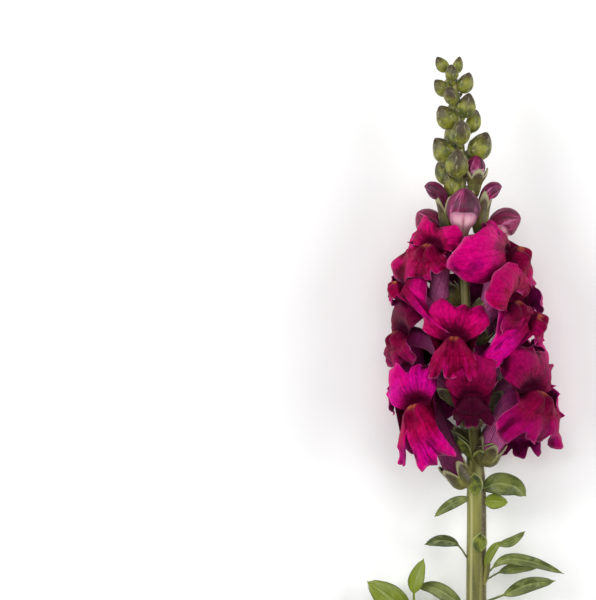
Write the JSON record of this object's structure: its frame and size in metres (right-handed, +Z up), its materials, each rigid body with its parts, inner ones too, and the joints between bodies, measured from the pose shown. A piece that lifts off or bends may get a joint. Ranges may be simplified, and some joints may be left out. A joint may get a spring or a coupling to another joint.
{
  "type": "snapdragon stem",
  "caption": "Cut snapdragon stem with a dense spike of crimson two-lipped florets, closed buds at its tip and narrow leaves below, lying on its side.",
  "frame": {"origin": "under the middle of the whole stem, on the surface it lies on", "axes": "+Y along the stem towards the tip of the flower spike, +Z up from the surface the stem lies on, +X to the right seen from above"},
  "size_m": [0.0804, 0.307, 0.0568],
  "materials": {
    "petal": "velvety fresh petal, crimson to magenta, slightly translucent",
    "closed_petal": "closed petal, dark purple-crimson hood over a pale pink lip",
    "stem": "fresh olive green stem, calyces and buds with a fine bloom",
    "leaf": "fresh grey-green leaf, satin, with a paler midrib"
  },
  "bodies": {
    "root": {"Green_stem": "stem", "Corolla_01": "petal", "Corolla_02": "petal", "Corolla_03": "petal", "Corolla_04": "petal", "Corolla_05": "petal", "Corolla_06": "petal", "Corolla_07": "petal", "Corolla_08": "petal", "Corolla_09": "petal", "Corolla_10": "petal", "Corolla_11": "petal", "Corolla_12": "petal", "Corolla_13": "petal", "Corolla_14": "petal", "Corolla_15": "petal", "Corolla_16": "petal", "Corolla_17": "petal", "Corolla_18": "petal", "Closed_floret_front": "closed_petal", "Closed_floret_left": "closed_petal", "Closed_floret_right": "closed_petal", "Opening_bud_left": "closed_petal", "Opening_bud_right": "closed_petal", "Opening_bud_upper": "closed_petal", "Opening_bud_back": "closed_petal", "Leaf_right_top": "leaf", "Leaf_right_small": "leaf", "Leaf_left_top": "leaf", "Leaf_left_middle": "leaf", "Leaf_right_curled": "leaf", "Leaf_right_shoot": "leaf", "Leaf_right_long": "leaf", "Leaf_right_under": "leaf", "Leaf_right_low": "leaf", "Leaf_left_dark": "leaf", "Leaf_left_upright": "leaf", "Leaf_left_large": "leaf", "Leaf_low_right": "leaf", "Leaf_low_left": "leaf", "Leaf_low_front": "leaf"}
  },
  "joints": []
}
